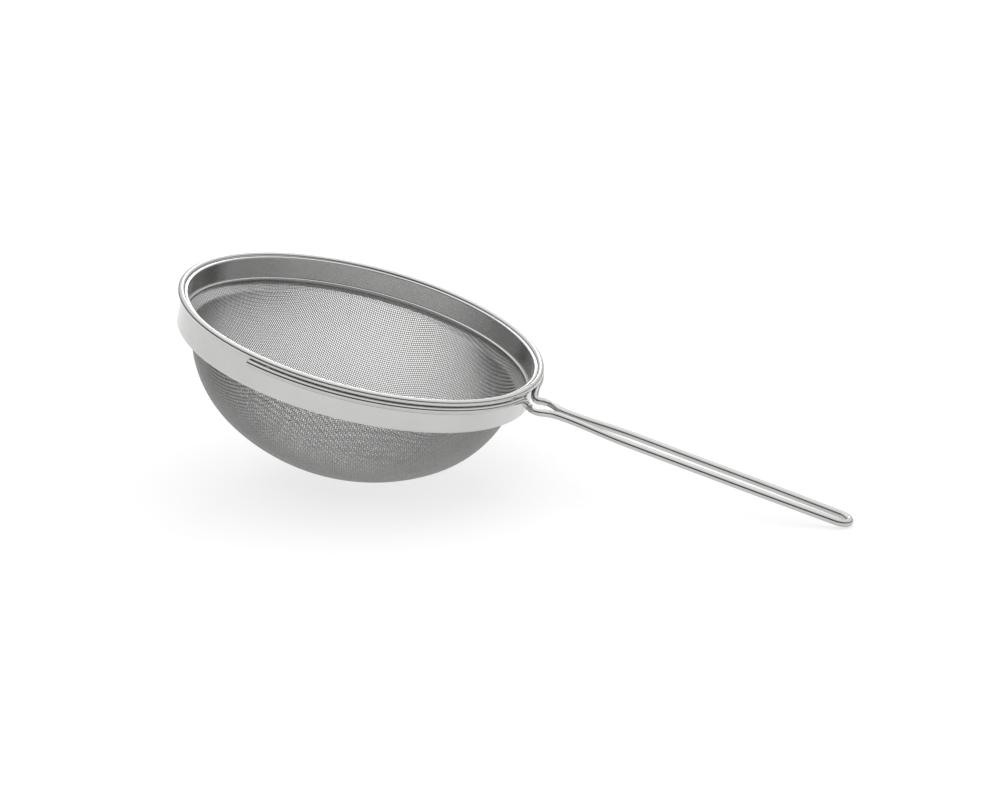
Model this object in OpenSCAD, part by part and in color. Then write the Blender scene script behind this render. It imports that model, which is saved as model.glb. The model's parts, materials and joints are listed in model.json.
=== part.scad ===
// Handled bowl strainer in stainless steel, at rest on a table.
// Sub-parts are drawn in the bowl's own frame, where z = 0 is the plane of the rolled
// rim and +X points along the handle, and rest_pose() then lays the whole strainer on
// the table. The row frame is the table's: +Z up, +X towards the handle's end, and the
// origin on the table at the middle of the footprint.

/* [Rim] */
// Outside diameter over the rolled rim, mm
rim_d = 80; // [70:0.5:95]
// Diameter of the rolled rim, mm
bead_d = 1.5; // [1.3:0.1:1.8]
// Thickness of the sheet that the collar and the clamp ring are made of, mm
sheet_t = 0.3; // [0.25:0.05:0.35]
// Height of the collar from the middle of the rolled rim to its lower edge, mm
collar_h = 6.8; // [6.5:0.1:8]
// Radial distance from the middle of the rolled rim in to the collar's outer face, mm
collar_inset = 0.45; // [0.4:0.05:0.6]
// Depth of the clamp ring's rolled lower edge below the middle of the rim, mm
clamp_h = 5.1; // [4.5:0.1:5.5]
// Diameter of the clamp ring's rolled lower edge, mm
clamp_bead_d = 0.8; // [0.7:0.1:1]

/* [Bowl] */
// Depth of the mesh bowl below the middle of the rim, mm
bowl_depth = 32.5; // [30:0.5:35]
// Diameter of the mesh bowl where it is widest, just inside the collar, mm
bowl_d = 71.6; // [69:0.2:73]
// Radius that the bowl's bottom is pressed to, mm
bottom_r = 43.5; // [42:0.5:46]
// Thickness of the smooth shell that stands for the woven wire cloth, mm
cloth_t = 0.2; // [0.15:0.05:0.35]
// Thickness of the cloth's gathered edge, held between the collar and the clamp ring, mm
edge_t = 0.4; // [0.35:0.05:0.5]

/* [Handle] */
// Diameter of the handle wire, mm
wire_d = 1.6; // [1.4:0.1:1.8]
// Distance from the bowl's axis to the outer end of the handle, mm
reach = 112; // [100:1:125]
// Angle that each arm reaches round the collar from the handle, degrees
arm_angle = 102; // [80:1:120]
// Distance between the middles of the two wires along the grip, mm
grip_gap = 5.5; // [4.8:0.1:6.5]
// Distance between the middles of the two wires at the handle's end, mm
end_gap = 4.7; // [4.4:0.1:5.5]
// Depth of the grip below the middle of the rim, mm
grip_drop = 3.15; // [2.8:0.05:3.6]

/* [Welds] */
// Angle of each arm's inner weld from the handle, degrees
inner_weld_angle = 13; // [10:1:20]
// Distance along the rim from each arm's end back to its outer weld, degrees
outer_weld_back = 6.5; // [4:0.5:12]
// Length of a weld along the wire, mm
weld_l = 1.6; // [1:0.1:2.4]

/* [Hidden] */
$fn = 96;
tiny = 0.01;
steel = "gainsboro";
cloth_grey = "darkgray";
weld_grey = "gray";

// Rim, in section: r is the distance from the bowl's axis.
bead_r = bead_d / 2;
rim_r = rim_d / 2 - bead_r;
collar_r = rim_r - collar_inset;
cloth_r = collar_r - sheet_t;
clamp_r = cloth_r - edge_t;
core_r = bead_r - sheet_t - tiny;
cloth_top = -0.3;
clamp_top = 0.1;
curl_open = 70;
curl_slit_at = 215;

// Bowl, in section: a skirt held in the rim, a knee under the clamp ring, a shoulder arc
// and a bottom arc. Both arcs share a tangent where they meet.
bowl_r = bowl_d / 2;
knee_top = -clamp_h - 0.4;
knee_foot = -6.9;
bottom_z = bottom_r - bowl_depth;
shoulder_z = -4.3;
shoulder_r = (pow(bottom_r, 2) - pow(bottom_z - shoulder_z, 2) - pow(bowl_r, 2))
             / (2 * (bottom_r - bowl_r));
shoulder_x = bowl_r - shoulder_r;
join_angle = atan2(shoulder_z - bottom_z, shoulder_x);
arc_steps = 16;
// The shell's start line is turned away from the point that rests on the table.
cloth_turn = 2.6;

// Handle wire: radius, the arms' circle under the rolled rim, and the end bend.
wire_r = wire_d / 2;
arm_r = collar_r + wire_r;
arm_z = -sqrt(pow(bead_r + wire_r, 2) - pow(rim_r - arm_r, 2));
arm_turn_angle = 8;
end_r = end_gap / 2;
end_x = reach - wire_r - end_r;
wire_sides = 16;
arm_steps = 40;
bend_steps = 12;
spline_steps = 4;

// How the strainer lies: the bottom's sphere and the end bend both touch the table.
to_end = end_x + end_r;
to_bottom = bottom_z + grip_drop;
rest_tilt = asin((bottom_r - wire_r) / norm([to_end, to_bottom])) - atan2(to_bottom, to_end);
rest_height = bottom_r - bottom_z * cos(rest_tilt);
far_x = -collar_r * cos(rest_tilt) - collar_h * sin(rest_tilt);
near_x = end_x * cos(rest_tilt) - grip_drop * sin(rest_tilt) + end_r * cos(rest_tilt) + wire_r;
rest_x = -(far_x + near_x) / 2;

module rest_pose() {
    translate([rest_x, 0, rest_height])
        rotate([0, rest_tilt, 0])
            children();
}

// A ring of sheet in section: a circle's band with a slit of gap_angle facing at_angle.
module curl_section(r, at_angle, gap_angle) {
    difference() {
        circle(r = r);
        circle(r = r - sheet_t);
        rotate([0, 0, at_angle])
            polygon([
                [0, 0],
                [2 * r * cos(gap_angle / 2), -2 * r * sin(gap_angle / 2)],
                [2 * r * cos(gap_angle / 2), 2 * r * sin(gap_angle / 2)]
            ]);
    }
}

// The collar: a wall whose top is rolled outwards over the core wire.
module rim_collar() {
    color(steel)
        rest_pose()
            rotate_extrude() {
                translate([collar_r - sheet_t, -collar_h])
                    square([sheet_t, collar_h]);
                translate([rim_r, 0])
                    curl_section(bead_r, curl_slit_at, curl_open);
            }
}

// The wire that the rim is rolled over.
module rim_core_wire() {
    color(steel)
        rest_pose()
            rotate_extrude()
                translate([rim_r, 0])
                    circle(r = core_r);
}

// The ring inside the cloth: its lower edge is rolled inwards, and a lip at its top closes
// the gap to the collar over the cloth's edge.
module clamp_ring() {
    roll_r = clamp_bead_d / 2;
    color(steel)
        rest_pose()
            rotate_extrude() {
                translate([clamp_r - sheet_t, -clamp_h])
                    square([sheet_t, clamp_h + clamp_top]);
                translate([clamp_r - roll_r, -clamp_h])
                    circle(r = roll_r);
                translate([clamp_r - sheet_t, clamp_top - sheet_t])
                    square([cloth_r - clamp_r + sheet_t, sheet_t]);
            }
}

// Points down one face of the cloth from its top edge to the axis: set in by edge_inset
// along its gathered edge, and by inset over the bowl.
function shoulder_point(a, inset) =
    [shoulder_x, shoulder_z] + (shoulder_r - inset) * [cos(a), sin(a)];
function bottom_point(a, inset) = [0, bottom_z] + (bottom_r - inset) * [cos(a), sin(a)];
function cloth_line(inset, edge_inset) =
    let (foot_angle = asin((knee_foot - shoulder_z) / (shoulder_r - inset)))
        concat(
            [[cloth_r - edge_inset, cloth_top], [cloth_r - edge_inset, knee_top]],
            [
                for (i = [0:arc_steps])
                    shoulder_point(foot_angle + (join_angle - foot_angle) * i / arc_steps, inset)
            ],
            [for (i = [1:arc_steps]) bottom_point(join_angle - (90 + join_angle) * i / arc_steps, inset)]
        );
function reversed(list) = [for (i = [len(list) - 1:-1:0]) list[i]];

// The woven cloth as one thin shell, pressed into a bowl and clamped at its edge.
module mesh_bowl() {
    color(cloth_grey)
        rest_pose()
            rotate([0, 0, cloth_turn])
                rotate_extrude()
                    polygon(concat(cloth_line(0, 0), reversed(cloth_line(cloth_t, edge_t))));
}

// Middle line of one arm and half of the handle: y is positive on this side.
// Each row is x, half the distance between the wires, and z.
neck_route = [
    [39.6, 3.75, -1.9],
    [40.05, 2.75, -2.75],
    [40.9, 2.7, -3.2],
    [42.0, 3.45, -3.25],
    [43.3, 3.6, -3.2],
    [44.6, 2.9, -3.15],
    [46.2, 1.95, -3.15],
    [48.5, 1.6, -3.15],
    [52.5, 1.75, -3.15],
    [57.5, 2.35, -3.15]
];
function arm_point(a) = [arm_r * cos(a), arm_r * sin(a), arm_z];
function end_point(a) = [end_x + end_r * cos(a), end_r * sin(a), -grip_drop];

arm_line = [
    for (i = [0:arm_steps])
        arm_point(arm_angle + (arm_turn_angle - arm_angle) * i / arm_steps)
];
grip_line = [
    [63, grip_gap / 2, -grip_drop],
    [78, grip_gap / 2, -grip_drop],
    [92, grip_gap / 2 - 0.05, -grip_drop]
];
knots = concat([arm_point(arm_turn_angle + 3), arm_point(arm_turn_angle)], neck_route,
               grip_line, [end_point(90), end_point(75)]);

// Catmull-Rom curve through four points, at t from 0 to 1 between the middle two.
function curve_point(a, b, c, d, t) =
    0.5 * (2 * b + (c - a) * t + (2 * a - 5 * b + 4 * c - d) * t * t
           + (3 * b - a - 3 * c + d) * t * t * t);
spline_line = [
    for (i = [1:len(knots) - 3])
        for (j = [1:spline_steps])
            curve_point(knots[i - 1], knots[i], knots[i + 1], knots[i + 2], j / spline_steps)
];
bend_line = [for (i = [1:bend_steps]) end_point(90 - 90 * i / bend_steps)];
half_line = concat(arm_line, spline_line, bend_line);
other_half = [for (i = [len(half_line) - 2:-1:0]) [half_line[i][0], -half_line[i][1], half_line[i][2]]];
wire_line = concat(half_line, other_half);

function unit(v) = v / norm(v);
function heading(line, i) = unit(line[min(i + 1, len(line) - 1)] - line[max(i - 1, 0)]);

// A round bar swept along a line that never runs straight up.
module swept_bar(line, r, sides) {
    points = [
        for (i = [0:len(line) - 1])
            let (along = heading(line, i), side = unit(cross(along, [0, 0, 1])),
                 top = cross(side, along))
                for (k = [0:sides - 1])
                    line[i] + r * (cos(360 * k / sides) * side + sin(360 * k / sides) * top)
    ];
    last = (len(line) - 1) * sides;
    walls = [
        for (i = [0:len(line) - 2])
            for (k = [0:sides - 1])
                let (a = i * sides + k, b = i * sides + (k + 1) % sides)
                    [a, b, b + sides, a + sides]
    ];
    start_cap = [for (k = [sides - 1:-1:0]) k];
    end_cap = [for (k = [0:sides - 1]) last + k];
    polyhedron(points, concat([start_cap], walls, [end_cap]));
}

// One wire bent double: both arms, the neck, the grip and the end bend.
module handle_wire() {
    color(steel)
        rest_pose()
            swept_bar(wire_line, wire_r, wire_sides);
}

// A section drawn against the collar's outer face and swept for width along the rim,
// centred at an angle round it.
module on_rim(a, width) {
    half_turn = width / 2 / collar_r * 180 / PI;
    rotate([0, 0, a - half_turn])
        rotate_extrude(angle = 2 * half_turn)
            children();
}

// Where the collar's strip meets itself, between the handle's wires. The weld is proud
// only above the part of the collar that sits in a pot.
module collar_seam_weld() {
    seam_w = 0.6;
    seam_t = 0.12;
    seam_l = 2.6;
    color(weld_grey)
        rest_pose()
            on_rim(0, seam_w)
                translate([collar_r, -bead_d - seam_l])
                    square([seam_t, seam_l]);
}

// A spot weld that fills the corner between the rolled rim, the collar and an arm, at an
// angle round the rim.
module arm_weld(a) {
    reach_out = 0.55;
    reach_up = 0.5;
    color(weld_grey)
        rest_pose()
            on_rim(a, weld_l)
                difference() {
                    translate([collar_r, arm_z])
                        square([reach_out, -arm_z - reach_up]);
                    translate([rim_r, 0])
                        circle(r = bead_r);
                    translate([arm_r, arm_z])
                        circle(r = wire_r);
                }
}

outer_weld_angle = arm_angle - outer_weld_back;
module left_inner_weld() { arm_weld(inner_weld_angle); }
module left_outer_weld() { arm_weld(outer_weld_angle); }
module right_inner_weld() { arm_weld(-inner_weld_angle); }
module right_outer_weld() { arm_weld(-outer_weld_angle); }

rim_collar();
rim_core_wire();
clamp_ring();
mesh_bowl();
handle_wire();
collar_seam_weld();
left_inner_weld();
left_outer_weld();
right_inner_weld();
right_outer_weld();
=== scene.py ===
"""Looks of a handled tea strainer: rolled steel rim, woven wire bowl and doubled wire handle."""

import json
import math

import bpy
import numpy as np
from bpy.props import FloatProperty, FloatVectorProperty, IntProperty, PointerProperty
from bpy.types import Operator, Panel, PropertyGroup
from mathutils import Matrix, Vector, noise


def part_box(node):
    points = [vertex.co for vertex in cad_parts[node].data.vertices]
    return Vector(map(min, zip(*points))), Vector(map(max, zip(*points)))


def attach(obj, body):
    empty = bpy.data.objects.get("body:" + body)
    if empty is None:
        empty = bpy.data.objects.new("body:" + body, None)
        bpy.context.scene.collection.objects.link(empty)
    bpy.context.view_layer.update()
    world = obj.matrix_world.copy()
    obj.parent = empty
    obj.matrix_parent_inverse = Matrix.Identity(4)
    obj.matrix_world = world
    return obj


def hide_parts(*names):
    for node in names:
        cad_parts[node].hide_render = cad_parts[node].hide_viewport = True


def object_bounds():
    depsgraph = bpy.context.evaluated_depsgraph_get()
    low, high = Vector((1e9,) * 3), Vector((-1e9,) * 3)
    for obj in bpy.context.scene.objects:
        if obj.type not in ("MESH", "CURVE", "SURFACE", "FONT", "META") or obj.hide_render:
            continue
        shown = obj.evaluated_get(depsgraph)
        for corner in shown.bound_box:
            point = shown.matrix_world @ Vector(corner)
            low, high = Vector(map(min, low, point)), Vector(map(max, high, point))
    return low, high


bl_info = {
    "name": "Tea strainer",
    "version": (1, 0, 0),
    "blender": (4, 5, 0),
    "location": "View3D > Sidebar > Strainer",
    "description": "Builds the rim, wire cloth, handle and welds of a handled tea strainer",
    "category": "Add Mesh",
}

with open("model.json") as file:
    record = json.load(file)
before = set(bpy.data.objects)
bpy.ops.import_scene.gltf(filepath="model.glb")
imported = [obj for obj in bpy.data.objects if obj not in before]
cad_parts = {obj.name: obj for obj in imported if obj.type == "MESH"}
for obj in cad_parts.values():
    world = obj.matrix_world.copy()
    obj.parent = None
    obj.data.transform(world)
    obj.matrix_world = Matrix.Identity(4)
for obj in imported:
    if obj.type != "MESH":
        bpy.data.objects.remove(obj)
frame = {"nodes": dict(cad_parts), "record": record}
CAD_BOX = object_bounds()
RIM_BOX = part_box("rim_collar")
MM = 0.001
BODY = "root"
# Steps round the collar and the clamp ring.
RIM_STEPS = 480
# Heights from the rim's middle: the cloth's upper edge, where the bowl's bulge is widest, and
# where its curve ends below the clamp ring.
CLOTH_TOP = -0.3 * MM
SHOULDER_Z = -4.3 * MM
KNEE_FOOT = -6.9 * MM


def seat_mount():
    """The record's mount on the collar's outer face."""
    return next(m for m in frame["record"]["mounts"] if m["name"] == "pot_seat")


# ---------------------------------------------------------------- settings


def length(name, description, default):
    """A setting that holds a length in metres."""
    return FloatProperty(
        name=name, description=description, default=default, min=0.0, unit="LENGTH", precision=5
    )


def colour(name, description, default):
    """A setting that holds a colour."""
    return FloatVectorProperty(
        name=name, description=description, default=default, subtype="COLOR", size=3, min=0, max=1
    )


class StrainerRimSizes(PropertyGroup):
    """Sizes of the collar, its rolled rim and the clamp ring."""

    rim_d: length("Rim diameter", "Over the rolled rim", RIM_BOX[1].y - RIM_BOX[0].y)
    bead_d: length("Rolled rim", "Thickness of the rolled rim", 1.5 * MM)
    sheet_t: length("Sheet", "Thickness of the sheet", 0.3 * MM)
    collar_h: length("Collar height", "Middle of the rolled rim to the collar's foot", 6.8 * MM)
    collar_inset: length("Collar inset", "Middle of the rolled rim in to the collar", 0.45 * MM)
    clamp_h: length("Clamp height", "Middle of the rolled rim to the clamp's roll", 5.1 * MM)
    clamp_top: length("Clamp top", "Middle of the rolled rim up to the clamp's edge", 0.1 * MM)
    clamp_bead_d: length("Clamp roll", "Thickness of the clamp ring's rolled edge", 0.8 * MM)
    seat_depth: length("Seat depth", "Middle of the rolled rim to the seat mount", 5.45 * MM)
    seam_w: length("Seam", "Width of the open seam across the collar", 0.14 * MM)


class StrainerClothSizes(PropertyGroup):
    """Sizes of the woven wire cloth and of the bowl it is pressed into."""

    wire_d: length("Cloth wire", "Diameter of the cloth's wires", 0.17 * MM)
    pitch: length("Pitch", "Distance between neighbouring wires", 0.48 * MM)
    edge_t: length("Edge", "Thickness of the gathered edge under the clamp ring", 0.4 * MM)
    bowl_depth: length("Depth", "Middle of the rim to the bottom's outer face", 32.5 * MM)
    bowl_d: length("Bowl diameter", "Where the bowl is widest", 71.6 * MM)
    bottom_r: length("Bottom radius", "Radius the bottom is pressed to", 43.5 * MM)
    lay_angle: FloatProperty(
        name="Lay",
        description="Turn of the warp wires from the handle",
        default=math.radians(10),
        subtype="ANGLE",
    )
    sides: IntProperty(name="Sides", description="Sides of one cloth wire", default=5, min=4)


class StrainerHandleSizes(PropertyGroup):
    """Sizes of the handle's wire."""

    wire_d: length("Handle wire", "Diameter of the handle's wire", 1.6 * MM)
    reach: length("Reach", "Bowl's axis to the handle's end", 112 * MM)
    grip_gap: length("Grip gap", "Between the middles of the two wires", 5.5 * MM)
    end_gap: length("End gap", "Between the two wires' middles at the end", 4.7 * MM)
    grip_drop: length("Grip drop", "Depth of the grip below the rim's middle", 3.15 * MM)
    arm_angle: FloatProperty(
        name="Arm angle",
        description="How far each arm reaches round the collar",
        default=math.radians(102),
        subtype="ANGLE",
    )


class StrainerFinish(PropertyGroup):
    """Colours of the finishes."""

    sheet: colour("Sheet", "Satin stainless sheet", (0.55, 0.55, 0.545))
    wire: colour("Wire", "Bright drawn wire", (0.52, 0.52, 0.515))
    cloth: colour("Cloth", "Woven wire cloth", (0.37, 0.37, 0.365))
    weld: colour("Weld", "Spot welds", (0.36, 0.355, 0.34))
    floor: colour("Floor", "Plain pale floor", (0.42, 0.42, 0.42))


class StrainerStage(PropertyGroup):
    """The view, and how strong the light is."""

    azimuth: FloatProperty(
        name="Azimuth",
        description="Where the camera stands round the strainer",
        default=math.radians(19.893),
        subtype="ANGLE",
    )
    elevation: FloatProperty(
        name="Elevation",
        description="How steeply the camera looks down",
        default=math.radians(15.787),
        subtype="ANGLE",
    )
    distance: length("Distance", "Camera to the point it looks at", 506.6 * MM)
    aim: FloatVectorProperty(
        name="Aim",
        description="The point looked at, from the middle of the strainer's box",
        default=(-2.9 * MM, 0.0, -2.7 * MM),
        subtype="TRANSLATION",
    )
    lens: FloatProperty(name="Lens", description="Focal length", default=86.4, unit="CAMERA")
    surround: FloatProperty(name="Surround", description="Light from all round", default=1.25)
    lean: FloatProperty(name="Lean", description="How far the dark zone rises in front", default=0.3)
    overhead: FloatProperty(name="Overhead", description="Power of the top light, W", default=0.45)
    behind: FloatProperty(name="Behind", description="Power of the light behind, W", default=0.9)
    table_glow: FloatProperty(name="Table glow", description="Light from the floor", default=0.64)


# ---------------------------------------------------------------- shader tools


class Shade:
    """A node's output that can be used in sums and products."""

    def __init__(self, recipe, socket):
        self.recipe = recipe
        self.socket = socket

    def _math(self, operation, first, second):
        return self.recipe.node(
            "ShaderNodeMath", {"operation": operation}, {0: first, 1: second}
        )["Value"]

    def __add__(self, other):
        return self._math("ADD", self, other)

    def __radd__(self, other):
        return self._math("ADD", other, self)

    def __sub__(self, other):
        return self._math("SUBTRACT", self, other)

    def __rsub__(self, other):
        return self._math("SUBTRACT", other, self)

    def __mul__(self, other):
        return self._math("MULTIPLY", self, other)

    def __rmul__(self, other):
        return self._math("MULTIPLY", other, self)

    def __truediv__(self, other):
        return self._math("DIVIDE", self, other)

    def __pow__(self, other):
        return self._math("POWER", self, other)


class Made:
    """A node's outputs by name."""

    def __init__(self, recipe, node):
        self.recipe = recipe
        self.node = node

    def __getitem__(self, name):
        return Shade(self.recipe, self.node.outputs[name])


class Recipe:
    """Adds nodes to one node tree."""

    def __init__(self, tree):
        self.tree = tree
        tree.nodes.clear()

    def node(self, kind, settings=None, sockets=None):
        """A node of a kind: its settings are set first, then its sockets' values or links."""
        made = self.tree.nodes.new(kind)
        for name, value in (settings or {}).items():
            if name == "stops":
                for i, (place, grey) in enumerate(value):
                    ramp = made.color_ramp.elements
                    stop = ramp[i] if i < len(ramp) else ramp.new(place)
                    stop.position = place
                    stop.color = (grey, grey, grey, 1)
            else:
                setattr(made, name, value)
        for name, value in (sockets or {}).items():
            if isinstance(value, Shade):
                self.tree.links.new(value.socket, made.inputs[name])
            else:
                made.inputs[name].default_value = value
        return Made(self, made)

    def tint(self, share, colour, low, high):
        """A colour that goes from low to high times its own brightness."""
        ends = {0: share, 6: rgba(colour, low), 7: rgba(colour, high)}
        mixed = self.node("ShaderNodeMix", {"data_type": "RGBA"}, ends)
        return Shade(self, mixed.node.outputs[2])

    def noise(self, vector, scale, detail=3.0, rough=0.55):
        """Noise from 0 to 1."""
        made = self.node(
            "ShaderNodeTexNoise",
            None,
            {"Vector": vector, "Scale": scale, "Detail": detail, "Roughness": rough},
        )
        return made["Fac"]

    def ramp(self, value, stops):
        """A grey that follows the value through stops of (value, grey)."""
        made = self.node("ShaderNodeValToRGB", {"stops": stops}, {"Fac": value})
        return made["Color"]

    def along(self, x, y, z):
        """A vector made of three values."""
        return self.node("ShaderNodeCombineXYZ", None, {"X": x, "Y": y, "Z": z})["Vector"]

    def metal(self, tint, rough, height, depth):
        """The metal's shader and the material's output; depth is how deep the bumps go."""
        bump = self.node(
            "ShaderNodeBump", None, {"Strength": 1.0, "Distance": depth, "Height": height}
        )
        body = self.node(
            "ShaderNodeBsdfPrincipled",
            None,
            {"Base Color": tint, "Metallic": 1.0, "Roughness": rough, "Normal": bump["Normal"]},
        )
        self.node("ShaderNodeOutputMaterial", None, {"Surface": body["BSDF"]})


def new_material(name):
    """A node material, emptied, and the recipe that fills it."""
    material = bpy.data.materials.get(name) or bpy.data.materials.new(name)
    material.use_nodes = True
    return material, Recipe(material.node_tree)


def rgba(value, factor):
    """An opaque colour, made brighter or darker by a factor."""
    return (*(min(1.0, c * factor) for c in value), 1.0)


def bowl_place(r):
    """Coordinates in the bowl's own frame in millimetres, as x, y and z."""
    bowl = bowl_frame()
    place = r.node(
        "ShaderNodeMapping",
        {"vector_type": "TEXTURE"},
        {
            "Vector": r.node("ShaderNodeTexCoord")["Object"],
            "Location": tuple(bowl.to_translation()),
            "Rotation": tuple(bowl.to_euler()),
            "Scale": (MM, MM, MM),
        },
    )["Vector"]
    parts = r.node("ShaderNodeSeparateXYZ", None, {"Vector": place})
    return parts["X"], parts["Y"], parts["Z"]


def sheet_steel():
    """Satin sheet: faint lines run round the rim, with a few handling marks."""
    finish = bpy.context.scene.strainer_finish
    material, r = new_material("sheet_steel")
    x, y, z = bowl_place(r)
    out = (x * x + y * y) ** 0.5
    lines = r.noise(r.along(x * 0.05, y * 0.05, (z + out) * 9.0), 1.0, 4.0, 0.7)
    broad = r.noise(r.along(x, y, z), 0.12, 2.0)
    marks = r.noise(r.along(x, y, z * 2.0), 1.6, 3.0, 0.6)
    tone = r.ramp(lines * 0.5 + broad * 0.5, [(0.3, 0.0), (0.7, 1.0)])
    tint = r.tint(tone, finish.sheet, 0.95, 1.04)
    rough = 0.13 + lines * 0.08 + marks * 0.05
    r.metal(tint, rough, lines * 0.7 + marks * 0.3, 0.003 * MM)
    return material


def drawn_wire():
    """Bright drawn wire: fine lengthwise lines and slight stains."""
    finish = bpy.context.scene.strainer_finish
    material, r = new_material("wire_steel")
    x, y, z = bowl_place(r)
    lay = r.node("ShaderNodeUVMap", {"uv_map": "Lay"})["UV"]
    parts = r.node("ShaderNodeSeparateXYZ", None, {"Vector": lay})
    lines = r.noise(r.along(parts["X"] * 0.25, parts["Y"] * 40, 0.0), 1.0, 3.0, 0.6)
    stains = r.noise(r.along(x, y, z), 0.35, 3.0)
    tone = r.ramp(lines * 0.4 + stains * 0.6, [(0.3, 0.0), (0.7, 1.0)])
    tint = r.tint(tone, finish.wire, 0.94, 1.05)
    rough = 0.06 + stains * 0.06 + lines * 0.04
    r.metal(tint, rough, lines * 0.5 + stains * 0.5, 0.002 * MM)
    return material


def cloth_wire():
    """Wire of the woven cloth: duller, and a little uneven from the pressing."""
    finish = bpy.context.scene.strainer_finish
    material, r = new_material("wire_cloth")
    x, y, z = bowl_place(r)
    patches = r.noise(r.along(x, y, z), 0.22, 3.0)
    grain = r.noise(r.along(x, y, z), 9.0, 2.0)
    tone = r.ramp(patches * 0.7 + grain * 0.3, [(0.3, 0.0), (0.7, 1.0)])
    tint = r.tint(tone, finish.cloth, 0.9, 1.06)
    r.metal(tint, 0.22 + grain * 0.12, grain, 0.004 * MM)
    return material


def weld_steel():
    """Weld metal: matt, slightly browned and lumpy."""
    finish = bpy.context.scene.strainer_finish
    material, r = new_material("weld_steel")
    x, y, z = bowl_place(r)
    lumps = r.noise(r.along(x, y, z), 3.0, 3.0)
    tint = r.tint(lumps, finish.weld, 0.8, 1.15)
    r.metal(tint, 0.38 + lumps * 0.2, lumps, 0.02 * MM)
    return material


# ---------------------------------------------------------------- mesh tools


def bowl_frame():
    """Where the bowl's own frame lies: the rim's middle, its axis up, the handle along +X."""
    seat = seat_mount()
    down = Vector(seat["axis"])
    middle = Vector(seat["pos_m"]) - bpy.context.scene.strainer_rim.seat_depth * down
    return Matrix.Translation(middle) @ Matrix.Rotation(math.atan2(-down.x, -down.z), 4, "Y")


def in_row(points):
    """Points of the bowl's frame, moved to the row frame."""
    bowl = np.array(bowl_frame())
    return np.asarray(points, float) @ bowl[:3, :3].T + bowl[:3, 3]


def add_piece(name, points, faces, material, nodes, sharp=50.0, lay=None):
    """A finished piece, given in the bowl's frame, riding on the strainer's body."""
    mesh = bpy.data.meshes.new(name)
    mesh.from_pydata([tuple(p) for p in in_row(points)], [], faces)
    mesh.polygons.foreach_set("use_smooth", [True] * len(mesh.polygons))
    mesh.set_sharp_from_angle(angle=math.radians(sharp))
    if lay is not None:
        layer = mesh.uv_layers.new(name="Lay")
        corner = np.zeros(len(mesh.loops), np.int32)
        mesh.loops.foreach_get("vertex_index", corner)
        layer.data.foreach_set("uv", np.asarray(lay, np.float32)[corner].ravel())
    mesh.validate()
    place_piece(name, mesh, material, nodes)


def place_piece(name, mesh, material, nodes):
    """Link a mesh as a piece with its material, riding on the strainer's body, and hide the CAD
    nodes it replaces.
    """
    piece = bpy.data.objects.new(name, mesh)
    bpy.context.scene.collection.objects.link(piece)
    mesh.materials.append(material)
    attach(piece, BODY)
    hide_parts(*nodes)


def arc(centre, radius, start, end, steps):
    """Points of an arc, from start to end in degrees."""
    turns = np.radians(np.linspace(start, end, steps + 1))
    return [(centre[0] + radius * math.cos(a), centre[1] + radius * math.sin(a)) for a in turns]


def sheet_outline(middle, thickness):
    """Closed outline of a sheet whose section runs along a middle line, with rounded ends."""
    line = np.asarray(middle, float)
    way = np.gradient(line, axis=0)
    way /= np.linalg.norm(way, axis=1)[:, None]
    side = np.stack([-way[:, 1], way[:, 0]], 1)
    half = thickness / 2
    left = line + side * half
    right = line - side * half

    def round_end(point, way_out, side_out):
        turns = np.radians([-60, -30, 0, 30, 60])
        return [
            point + half * (math.cos(a) * 0.6 * way_out + math.sin(a) * side_out) for a in turns
        ]

    end = round_end(line[-1], way[-1], -side[-1])
    start = round_end(line[0], -way[0], side[0])
    return np.array([*left, *end, *right[::-1], *start])


def lathe(outline, steps, gap=0.0):
    """A closed outline of (radius, height) turned about the axis; gap leaves a seam at +X."""
    count = len(outline)
    open_turn = gap > 0
    turns = np.linspace(gap / 2, 2 * math.pi - gap / 2, steps + 1)
    if not open_turn:
        turns = turns[:-1]
    points = np.array(
        [[r * math.cos(a), r * math.sin(a), z] for a in turns for r, z in outline]
    )
    rings = len(turns)
    faces = []
    for i in range(rings - 1 if open_turn else rings):
        a, b = i * count, ((i + 1) % rings) * count
        for k in range(count):
            n = (k + 1) % count
            faces.append((a + k, a + n, b + n, b + k))
    if open_turn:
        last = (rings - 1) * count
        faces.append(tuple(range(count)))
        faces.append(tuple(last + k for k in reversed(range(count))))
    return points, faces


def outward(points, faces):
    """Faces all turned so that the closed shell's volume is positive."""
    p = np.asarray(points)
    volume = 0.0
    for f in faces:
        for i in range(1, len(f) - 1):
            volume += float(np.dot(p[f[0]], np.cross(p[f[i]], p[f[i + 1]])))
    return faces if volume > 0 else [tuple(reversed(f)) for f in faces]


# ---------------------------------------------------------------- pieces


def rim_radii():
    """Middle radius of the rolled rim, and the collar's outer radius."""
    rim = bpy.context.scene.strainer_rim
    rim_r = (rim.rim_d - rim.bead_d) / 2
    return rim_r, rim_r - rim.collar_inset


def make_rim_collar():
    """The collar strip: a plain wall, turned outwards at its top and rolled over the wire."""
    rim = bpy.context.scene.strainer_rim
    rim_r, collar_r = rim_radii()
    half = rim.sheet_t / 2
    roll = rim.bead_d / 2 - half
    wall_top = -0.08 * MM
    middle = [(collar_r - half, z) for z in np.linspace(-rim.collar_h, wall_top, 12)]
    middle += arc((rim_r, 0), roll, 180, -108, 56)
    outline = sheet_outline(middle, rim.sheet_t)
    points, faces = lathe(outline, RIM_STEPS, rim.seam_w / collar_r)
    add_piece("rim_collar_sheet", points, outward(points, faces), sheet_steel(), ["rim_collar"])


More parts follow.
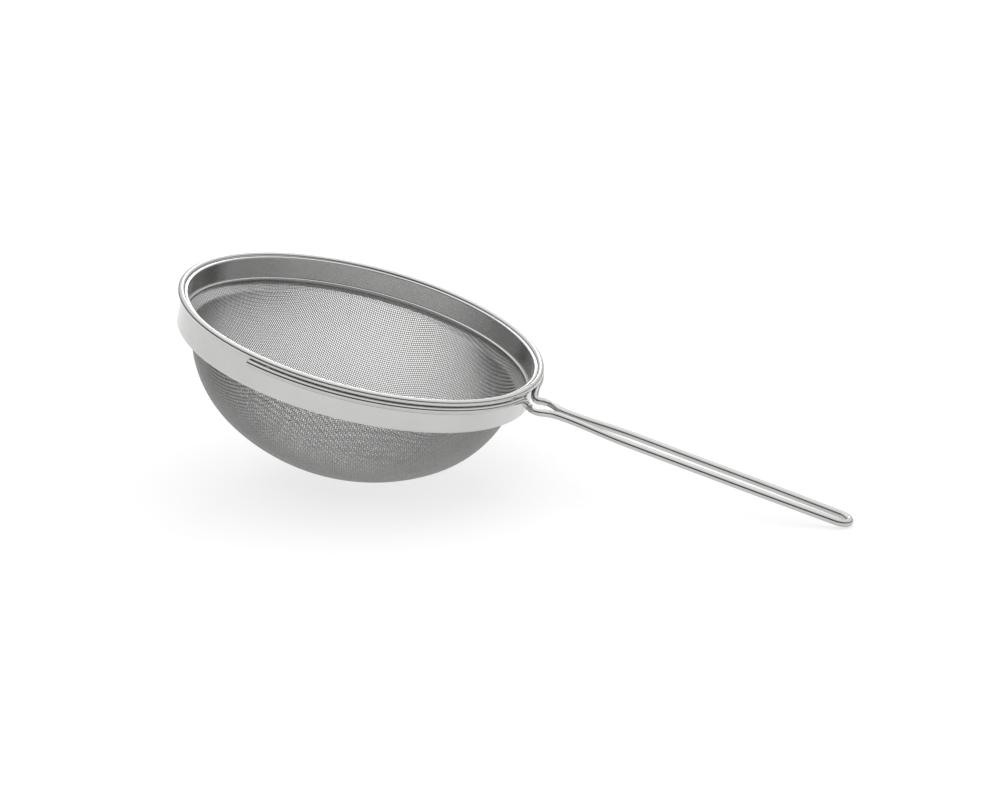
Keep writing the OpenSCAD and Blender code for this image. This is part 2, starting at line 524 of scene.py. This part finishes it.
def make_clamp_ring():
    """The ring inside the cloth: a lip at its top, and its lower edge rolled inwards."""
    rim = bpy.context.scene.strainer_rim
    cloth = bpy.context.scene.strainer_cloth
    _, collar_r = rim_radii()
    half = rim.sheet_t / 2
    outer = collar_r - rim.sheet_t - cloth.edge_t
    wall = outer - half
    roll = rim.clamp_bead_d / 2 - half
    lip_z = rim.clamp_top - half
    bend = 0.2 * MM
    middle = [(r, lip_z) for r in np.linspace(collar_r - rim.sheet_t, wall + bend, 4)]
    middle += arc((wall + bend, lip_z - bend), bend, 90, 180, 6)[1:]
    middle += [(wall, z) for z in np.linspace(lip_z - 1.5 * bend, -rim.clamp_h + roll * 0.5, 8)]
    middle += arc((wall - roll, -rim.clamp_h), roll, 0, -290, 30)
    points, faces = lathe(sheet_outline(middle, rim.sheet_t), RIM_STEPS)
    add_piece("clamp_ring_sheet", points, outward(points, faces), sheet_steel(), ["clamp_ring"])


def bowl_profile():
    """The cloth's middle surface: distance along it from the bottom, radius and height."""
    rim = bpy.context.scene.strainer_rim
    cloth = bpy.context.scene.strainer_cloth
    _, collar_r = rim_radii()
    inset = cloth.wire_d
    knee_gap = 0.4 * MM
    past_rim = 6 * MM
    bowl_r = cloth.bowl_d / 2
    bottom_z = cloth.bottom_r - cloth.bowl_depth
    shoulder_r = (cloth.bottom_r**2 - (bottom_z - SHOULDER_Z) ** 2 - bowl_r**2) / (
        2 * (cloth.bottom_r - bowl_r)
    )
    shoulder_x = bowl_r - shoulder_r
    join = math.degrees(math.atan2(SHOULDER_Z - bottom_z, shoulder_x))
    foot = math.degrees(math.asin((KNEE_FOOT - SHOULDER_Z) / (shoulder_r - inset)))
    skirt = collar_r - rim.sheet_t - cloth.edge_t / 2
    line = arc((0, bottom_z), cloth.bottom_r - inset, -90, join, 80)
    line += arc((shoulder_x, SHOULDER_Z), shoulder_r - inset, join, foot, 60)[1:]
    line += [(skirt, -rim.clamp_h - knee_gap), (skirt, past_rim)]
    line = np.array(line)
    run = np.concatenate([[0], np.cumsum(np.linalg.norm(np.diff(line, axis=0), axis=1))])
    samples = 4000
    s = np.linspace(0, run[-1], samples)
    r, z = np.interp(s, run, line[:, 0]), np.interp(s, run, line[:, 1])
    width = 41
    soft = np.ones(width) / width
    pad = width // 2
    r_wide = np.concatenate([-r[pad:0:-1], r, 2 * r[-1] - r[-2 : -pad - 2 : -1]])
    z_wide = np.concatenate([z[pad:0:-1], z, 2 * z[-1] - z[-2 : -pad - 2 : -1]])
    return s, np.convolve(r_wide, soft, "valid"), np.convolve(z_wide, soft, "valid")


def on_bowl(along, turn, profile):
    """Points at distances along the profile from the bottom, and turns about the axis."""
    s, r, z = profile
    radius = np.interp(along, s, r)
    return np.stack([radius * np.cos(turn), radius * np.sin(turn), np.interp(along, s, z)], -1)


def quarter_net(profile, pitch, count):
    """Crossings of a quarter of the draped cloth, as distances along the profile and turns.

    Wires don't stretch, so each crossing lies one pitch from the two before it.
    """
    limit = profile[0][-1] - pitch
    along = np.full((count, count), np.nan)
    turn = np.full((count, count), np.nan)
    along[:, 0] = along[0] = np.arange(count) * pitch
    turn[:, 0], turn[0] = 0, math.pi / 2
    step = 1e-3 * pitch
    tries = 12
    flat = 1e-12
    for row in range(2, 2 * count - 1):
        i = np.arange(max(1, row - count + 1), min(count, row))
        j = row - i
        a = on_bowl(along[i - 1, j], turn[i - 1, j], profile)
        b = on_bowl(along[i, j - 1], turn[i, j - 1], profile)
        guess = a + b - on_bowl(along[i - 1, j - 1], turn[i - 1, j - 1], profile)
        far = np.maximum(along[i - 1, j], along[i, j - 1]) + 0.3 * pitch
        way = np.arctan2(guess[:, 1], guess[:, 0])
        for _ in range(tries):
            x = on_bowl(far, way, profile)
            reach = np.maximum(np.hypot(x[:, 0], x[:, 1]), pitch)
            by_far = (on_bowl(far + step, way, profile) - x) / step
            by_way = (on_bowl(far, way + step / reach, profile) - x) * (reach / step)[:, None]
            to_a, to_b = x - a, x - b
            miss_a, miss_b = (to_a**2).sum(1) - pitch**2, (to_b**2).sum(1) - pitch**2
            aa, ab = 2 * (to_a * by_far).sum(1), 2 * (to_a * by_way).sum(1) / reach
            ba, bb = 2 * (to_b * by_far).sum(1), 2 * (to_b * by_way).sum(1) / reach
            spread = aa * bb - ab * ba
            spread = np.where(np.abs(spread) < flat, np.nan, spread)
            far = far + np.clip((miss_b * ab - miss_a * bb) / spread, -pitch / 2, pitch / 2)
            most = pitch / 2 / reach
            way = way + np.clip((miss_a * ba - miss_b * aa) / spread, -most, most)
        good = np.isfinite(far) & (far < limit)
        along[i, j], turn[i, j] = np.where(good, far, np.nan), np.where(good, way, np.nan)
    return along, turn


def cloth_net(profile):
    """Every crossing of the cloth: its place and its outward normal, warp by weft."""
    cloth = bpy.context.scene.strainer_cloth
    count = int(profile[0][-1] / cloth.pitch) + 1
    along, turn = quarter_net(profile, cloth.pitch, count)
    steps = np.arange(1 - count, count)
    i, j = np.meshgrid(steps, steps, indexing="ij")
    quarter = np.select([(i > 0) & (j >= 0), (i <= 0) & (j > 0), (i < 0) & (j <= 0)], [0, 1, 2], 3)
    near = np.choose(quarter, [i, j, -i, -j])
    side = np.choose(quarter, [j, -i, -j, i])
    middle = (i == 0) & (j == 0)
    near, side = np.where(middle, 0, near), np.where(middle, 0, side)
    far = along[near, side]
    way = turn[near, side] + quarter * math.pi / 2 + cloth.lay_angle
    place = on_bowl(far, way, profile)
    s, r, z = profile
    slope_r = np.interp(far, s, np.gradient(r, s))
    slope_z = np.interp(far, s, np.gradient(z, s))
    size = np.hypot(slope_r, slope_z)
    out_r, out_z = slope_z / size, -slope_r / size
    normal = np.stack([out_r * np.cos(way), out_r * np.sin(way), out_z], -1)
    place[~(place[..., 2] < CLOTH_TOP)] = np.nan
    return place, normal


def weave(place, normal, sign):
    """Middle lines of the wires that run along the net's second direction, with normals."""
    cloth = bpy.context.scene.strainer_cloth
    wires = []
    for i, (line, out) in enumerate(zip(place, normal, strict=True)):
        good = np.flatnonzero(np.isfinite(line[:, 0]))
        if len(good) < 3:
            continue
        run = np.arange(good[0], good[-1] + 1)
        over = sign * np.where((i + run) % 2 == 0, 1, -1)
        knots = line[run] + out[run] * (over * cloth.wire_d / 2)[:, None]
        between = (line[run][1:] + line[run][:-1]) / 2
        whole = np.empty((2 * len(run) - 1, 3))
        whole[::2], whole[1::2] = knots, between
        facing = np.empty_like(whole)
        facing[::2], facing[1::2] = out[run], out[run][1:]
        wires.append((whole, facing))
    return wires


def wire_tubes(wires, radius, sides):
    """Points and quads of tubes along several lines."""
    points, quads, base = [], [], 0
    turns = np.arange(sides) * 2 * math.pi / sides
    for line, normal in wires:
        way = np.gradient(line, axis=0)
        way /= np.linalg.norm(way, axis=1)[:, None]
        side = np.cross(way, normal)
        side /= np.linalg.norm(side, axis=1)[:, None]
        top = np.cross(side, way)
        across = np.cos(turns)[:, None] * top[:, None] + np.sin(turns)[:, None] * side[:, None]
        points.append((line[:, None] + radius * across).reshape(-1, 3))
        index = base + np.arange(len(line) * sides).reshape(-1, sides)
        a, b = index[:-1], index[1:]
        quads.append(np.stack([a, b, np.roll(b, -1, 1), np.roll(a, -1, 1)], -1).reshape(-1, 4))
        base += len(line) * sides
    return np.concatenate(points), np.concatenate(quads)


def fast_mesh(name, points, quads):
    """A smooth mesh of quads from arrays."""
    mesh = bpy.data.meshes.new(name)
    mesh.vertices.add(len(points))
    mesh.vertices.foreach_set("co", np.asarray(points, np.float32).ravel())
    mesh.loops.add(quads.size)
    mesh.loops.foreach_set("vertex_index", quads.astype(np.int32).ravel())
    mesh.polygons.add(len(quads))
    mesh.polygons.foreach_set("loop_start", np.arange(0, quads.size, 4, dtype=np.int32))
    mesh.polygons.foreach_set("use_smooth", np.ones(len(quads), bool))
    mesh.update(calc_edges=True)
    return mesh


def make_wire_cloth():
    """Plain woven cloth: every warp and weft wire, over and under its neighbours."""
    cloth = bpy.context.scene.strainer_cloth
    place, normal = cloth_net(bowl_profile())
    material = cloth_wire()
    parts = 6
    turned = place.transpose(1, 0, 2), normal.transpose(1, 0, 2)
    for kind, net, sign in (("warp", (place, normal), 1), ("weft", turned, -1)):
        wires = weave(*net, sign)
        done = np.cumsum([len(line) for line, _ in wires])
        group = np.minimum((done - 1) * parts // done[-1], parts - 1)
        for part in range(parts):
            chosen = [w for w, g in zip(wires, group, strict=True) if g == part]
            points, quads = wire_tubes(chosen, cloth.wire_d / 2, cloth.sides)
            name = f"cloth_{kind}_{part + 1}"
            place_piece(name, fast_mesh(name, in_row(points), quads), material, ["mesh_bowl"])


# Route of one side of the handle's neck, mm: along, half the gap, height.
NECK = [
    (39.6, 3.75, -1.9),
    (40.05, 2.75, -2.75),
    (40.9, 2.7, -3.2),
    (42.0, 3.45, -3.25),
    (43.3, 3.6, -3.2),
    (44.6, 2.9, -3.15),
    (46.2, 1.95, -3.15),
    (48.5, 1.6, -3.15),
    (52.5, 1.75, -3.15),
    (57.5, 2.35, -3.15),
]


def spline(knots, steps):
    """A smooth curve through all knots but the first and last."""
    k = np.asarray(knots, float)
    t = (np.arange(1, steps + 1) / steps)[:, None]
    runs = [
        0.5
        * (
            2 * b
            + (c - a) * t
            + (2 * a - 5 * b + 4 * c - d) * t**2
            + (3 * b - a - 3 * c + d) * t**3
        )
        for a, b, c, d in zip(k, k[1:], k[2:], k[3:], strict=False)
    ]
    return np.concatenate(runs)


def handle_line():
    """Middle line of the whole handle wire, from one arm's end to the other's."""
    rim = bpy.context.scene.strainer_rim
    handle = bpy.context.scene.strainer_handle
    rim_r, collar_r = rim_radii()
    wire_r = handle.wire_d / 2
    arm_r = collar_r + wire_r
    arm_z = -math.sqrt((rim.bead_d / 2 + wire_r) ** 2 - (rim_r - arm_r) ** 2)
    end_r = handle.end_gap / 2
    end_x = handle.reach - wire_r - end_r

    def arm_point(a):
        return [arm_r * math.cos(a), arm_r * math.sin(a), arm_z]

    def end_point(degrees):
        a = math.radians(degrees)
        return [end_x + end_r * math.cos(a), end_r * math.sin(a), -handle.grip_drop]

    turn = math.radians(8)
    arm = [arm_point(a) for a in np.linspace(handle.arm_angle, turn, 150)]
    half_gap = handle.grip_gap / 2
    grip = [
        [63 * MM, half_gap, -handle.grip_drop],
        [78 * MM, half_gap, -handle.grip_drop],
        [92 * MM, half_gap - 0.05 * MM, -handle.grip_drop],
    ]
    knots = [arm_point(turn + math.radians(3)), arm_point(turn)]
    knots += [[c * MM for c in p] for p in NECK] + grip + [end_point(90), end_point(75)]
    bend = [end_point(a) for a in np.linspace(90, 0, 25)[1:]]
    half = np.concatenate([arm, spline(knots, 14), bend])
    mirrored = half[-2::-1] * [1, -1, 1]
    return np.concatenate([half, mirrored])


def bar(line, radius, sides):
    """A round bar along a line, with softly rounded cut ends."""
    way = np.gradient(line, axis=0)
    way /= np.linalg.norm(way, axis=1)[:, None]
    side = np.cross(way, [0, 0, 1.0])
    side /= np.linalg.norm(side, axis=1)[:, None]
    top = np.cross(side, way)
    turns = np.arange(sides) * 2 * math.pi / sides
    first, last = way[0], way[-1]
    edge = 0.15 * radius
    rings = [(line[0] - first * edge, side[0], top[0], radius - edge)]
    rings += [(line[0] - first * edge * 0.3, side[0], top[0], radius - edge * 0.3)]
    rings += [(p, s, t, radius) for p, s, t in zip(line, side, top, strict=True)]
    rings += [(line[-1] + last * edge * 0.3, side[-1], top[-1], radius - edge * 0.3)]
    rings += [(line[-1] + last * edge, side[-1], top[-1], radius - edge)]
    points = np.array(
        [p + q * (math.cos(a) * s + math.sin(a) * t) for p, s, t, q in rings for a in turns]
    )
    faces = []
    for i in range(len(rings) - 1):
        a, b = i * sides, (i + 1) * sides
        faces += [(a + k, a + (k + 1) % sides, b + (k + 1) % sides, b + k) for k in range(sides)]
    faces.append(tuple(reversed(range(sides))))
    faces.append(tuple((len(rings) - 1) * sides + k for k in range(sides)))
    middle = np.array([r[0] for r in rings])
    run = np.concatenate([[0], np.cumsum(np.linalg.norm(np.diff(middle, axis=0), axis=1))])
    lay = np.stack(
        [np.repeat(run / MM, sides), np.tile(np.arange(sides) / sides, len(rings))], -1
    )
    return points, faces, lay


def make_handle():
    """One wire bent double: the arms, the neck, the grip and the end bend."""
    handle = bpy.context.scene.strainer_handle
    points, faces, lay = bar(handle_line(), handle.wire_d / 2, 32)
    add_piece(
        "handle_bar", points, outward(points, faces), drawn_wire(), ["handle_wire"], lay=lay
    )


def nugget(name, node, size, shift, seed):
    """A lump of weld metal near a CAD weld.

    Its size is given along the rim, outwards and up, and its shift outwards and up.
    """
    low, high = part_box(node)
    centre = bowl_frame().inverted() @ ((low + high) / 2)
    turn = math.atan2(centre.y, centre.x)
    out = Vector((math.cos(turn), math.sin(turn), 0))
    round_rim = Vector((-math.sin(turn), math.cos(turn), 0))
    up = Vector((0, 0, 1))
    centre += out * shift[0] + up * shift[1]
    rows, columns = 16, 24
    points = [centre + up * size[2]]
    for i in range(1, rows):
        tilt = math.pi * i / rows
        for k in range(columns):
            a = 2 * math.pi * k / columns
            flat = math.sin(tilt)
            ball = Vector((flat * math.cos(a), flat * math.sin(a), math.cos(tilt)))
            swell = 1 + 0.16 * noise.noise(ball * 1.7 + Vector((seed, 0, 0)))
            lump = round_rim * ball.x * size[0] + out * ball.y * size[1] + up * ball.z * size[2]
            points.append(centre + swell * lump)
    points.append(centre - up * size[2])
    last = len(points) - 1
    faces = [(0, 1 + k, 1 + (k + 1) % columns) for k in range(columns)]
    for i in range(rows - 2):
        a, b = 1 + i * columns, 1 + (i + 1) * columns
        faces += [
            (a + k, b + k, b + (k + 1) % columns, a + (k + 1) % columns) for k in range(columns)
        ]
    base = 1 + (rows - 2) * columns
    faces += [(base + k, last, base + (k + 1) % columns) for k in range(columns)]
    points = np.array([tuple(p) for p in points])
    add_piece(name, points, outward(points, faces), weld_steel(), [node], 60)


def make_welds():
    """The four spot welds of the arms, and the collar's seam weld."""
    spot = (0.75 * MM, 0.42 * MM, 0.34 * MM)
    shift = (0.5 * MM, 0.25 * MM)
    for seed, node in enumerate(
        ("left_inner_weld", "left_outer_weld", "right_inner_weld", "right_outer_weld")
    ):
        nugget(node + "_bead", node, spot, shift, seed * 7.3)
    seam = (0.26 * MM, 0.13 * MM, 1.3 * MM)
    nugget("collar_seam_bead", "collar_seam_weld", seam, (0, 0), 31.0)


def finish_core_wire():
    """The wire inside the rolled rim keeps its CAD shape and gets its finish."""
    node = frame["nodes"]["rim_core_wire"]
    node.data.materials.clear()
    node.data.materials.append(drawn_wire())


# ---------------------------------------------------------------- stage


def make_floor():
    """A plain pale floor under the strainer, lit a little from inside as a light table is."""
    finish = bpy.context.scene.strainer_finish
    stage = bpy.context.scene.strainer_stage
    half = 6.0
    mesh = bpy.data.meshes.new("floor")
    mesh.from_pydata(
        [(-half, -half, 0), (half, -half, 0), (half, half, 0), (-half, half, 0)], [], [(0, 1, 2, 3)]
    )
    material, r = new_material("floor_paint")
    place = r.node("ShaderNodeTexCoord")["Object"]
    tone = r.noise(place, 3.0, 2.0)
    body = r.node(
        "ShaderNodeBsdfPrincipled",
        None,
        {
            "Base Color": r.tint(tone, finish.floor, 0.995, 1.005),
            "Roughness": 0.9,
            "Specular IOR Level": 0.0,
            "Emission Color": (1, 1, 1, 1),
            "Emission Strength": stage.table_glow,
        },
    )
    r.node("ShaderNodeOutputMaterial", None, {"Surface": body["BSDF"]})
    mesh.materials.append(material)
    floor = bpy.data.objects.new("floor", mesh)
    bpy.context.scene.collection.objects.link(floor)


def make_surround():
    """Light from all round: bright above, dark low down, as in a room behind a lit table."""
    stage = bpy.context.scene.strainer_stage
    world = bpy.data.worlds.new("surround")
    world.use_nodes = True
    r = Recipe(world.node_tree)
    way = r.node("ShaderNodeTexCoord")["Generated"]
    parts = r.node("ShaderNodeSeparateXYZ", None, {"Vector": way})
    height = parts["Z"] + parts["Y"] * stage.lean
    rise = r.ramp(height, [(0.0, 0.06), (0.3, 0.12), (0.55, 0.8), (0.9, 1.0)])
    seen = r.node("ShaderNodeLightPath")["Is Camera Ray"]
    tone = seen + (1.0 - seen) * rise * stage.surround
    sky = r.node("ShaderNodeBackground", None, {"Color": tone, "Strength": 1.0})
    r.node("ShaderNodeOutputWorld", None, {"Surface": sky["Background"]})
    bpy.context.scene.world = world


def make_light(name, place, size, power):
    """A rectangular soft light that points at the strainer."""
    lamp = bpy.data.lights.new(name, "AREA")
    lamp.shape = "RECTANGLE"
    lamp.size, lamp.size_y = size
    lamp.energy = power
    light = bpy.data.objects.new(name, lamp)
    bpy.context.scene.collection.objects.link(light)
    light.location = place
    light.rotation_euler = (-Vector(place)).to_track_quat("-Z", "Y").to_euler()


def make_lights():
    """One broad soft light overhead, and a smaller one low behind that throws the shadow."""
    stage = bpy.context.scene.strainer_stage
    make_light("overhead", (-0.15, 0.25, 0.8), (0.9, 0.7), stage.overhead)
    make_light("behind", (-0.3, 1.0, 0.6), (0.3, 0.2), stage.behind)


def make_camera():
    """The camera, looking at the middle of the strainer."""
    stage = bpy.context.scene.strainer_stage
    lens = bpy.data.cameras.new("camera")
    lens.lens = stage.lens
    lens.sensor_width = 36
    lens.clip_start, lens.clip_end = 0.01, 50
    camera = bpy.data.objects.new("camera", lens)
    bpy.context.scene.collection.objects.link(camera)
    aim = (CAD_BOX[0] + CAD_BOX[1]) / 2 + Vector(stage.aim)
    a, e = stage.azimuth, stage.elevation
    back = Vector((math.sin(a) * math.cos(e), -math.cos(a) * math.cos(e), math.sin(e)))
    camera.location = aim + back * stage.distance
    camera.rotation_euler = (-back).to_track_quat("-Z", "Y").to_euler()
    bpy.context.scene.camera = camera


def make_stage():
    """Floor, light and camera, with plain colour management."""
    make_floor()
    make_surround()
    make_lights()
    make_camera()
    bpy.context.scene.view_settings.view_transform = "Standard"


# ---------------------------------------------------------------- operators


class STRAINER_OT_rim_collar(Operator):
    """Build the collar with its rolled rim"""

    bl_idname = "strainer.rim_collar"
    bl_label = "Rim collar"

    def execute(self, context):
        make_rim_collar()
        finish_core_wire()
        return {"FINISHED"}


class STRAINER_OT_clamp_ring(Operator):
    """Build the clamp ring inside the bowl's mouth"""

    bl_idname = "strainer.clamp_ring"
    bl_label = "Clamp ring"

    def execute(self, context):
        make_clamp_ring()
        return {"FINISHED"}


class STRAINER_OT_wire_cloth(Operator):
    """Weave the wire cloth of the bowl"""

    bl_idname = "strainer.wire_cloth"
    bl_label = "Wire cloth"

    def execute(self, context):
        make_wire_cloth()
        return {"FINISHED"}


class STRAINER_OT_handle(Operator):
    """Bend the handle from one wire"""

    bl_idname = "strainer.handle"
    bl_label = "Handle"

    def execute(self, context):
        make_handle()
        return {"FINISHED"}


class STRAINER_OT_welds(Operator):
    """Add the spot welds and the collar's seam weld"""

    bl_idname = "strainer.welds"
    bl_label = "Welds"

    def execute(self, context):
        make_welds()
        return {"FINISHED"}


class STRAINER_OT_stage(Operator):
    """Set the floor, the light and the camera"""

    bl_idname = "strainer.stage"
    bl_label = "Stage"

    def execute(self, context):
        make_stage()
        return {"FINISHED"}


class STRAINER_PT_panel(Panel):
    """Settings and steps of the strainer"""

    bl_idname = "STRAINER_PT_panel"
    bl_label = "Tea strainer"
    bl_space_type = "VIEW_3D"
    bl_region_type = "UI"
    bl_category = "Strainer"

    def draw(self, context):
        layout = self.layout
        for group in GROUPS:
            box = layout.box()
            settings = getattr(context.scene, group)
            for name in settings.bl_rna.properties.keys():
                if name not in ("rna_type", "name"):
                    box.prop(settings, name)
        for step in STEPS:
            layout.operator(step.bl_idname)


GROUPS = {
    "strainer_rim": StrainerRimSizes,
    "strainer_cloth": StrainerClothSizes,
    "strainer_handle": StrainerHandleSizes,
    "strainer_finish": StrainerFinish,
    "strainer_stage": StrainerStage,
}
STEPS = (
    STRAINER_OT_rim_collar,
    STRAINER_OT_clamp_ring,
    STRAINER_OT_wire_cloth,
    STRAINER_OT_handle,
    STRAINER_OT_welds,
    STRAINER_OT_stage,
)


def register():
    for kind in (*GROUPS.values(), *STEPS, STRAINER_PT_panel):
        bpy.utils.register_class(kind)
    for name, kind in GROUPS.items():
        setattr(bpy.types.Scene, name, PointerProperty(type=kind))


def unregister():
    for name in GROUPS:
        delattr(bpy.types.Scene, name)
    for kind in reversed((*GROUPS.values(), *STEPS, STRAINER_PT_panel)):
        bpy.utils.unregister_class(kind)


def main():
    register()
    bpy.ops.strainer.rim_collar()
    bpy.ops.strainer.clamp_ring()
    bpy.ops.strainer.wire_cloth()
    bpy.ops.strainer.handle()
    bpy.ops.strainer.welds()
    bpy.ops.strainer.stage()


if __name__ == "__main__":
    main()
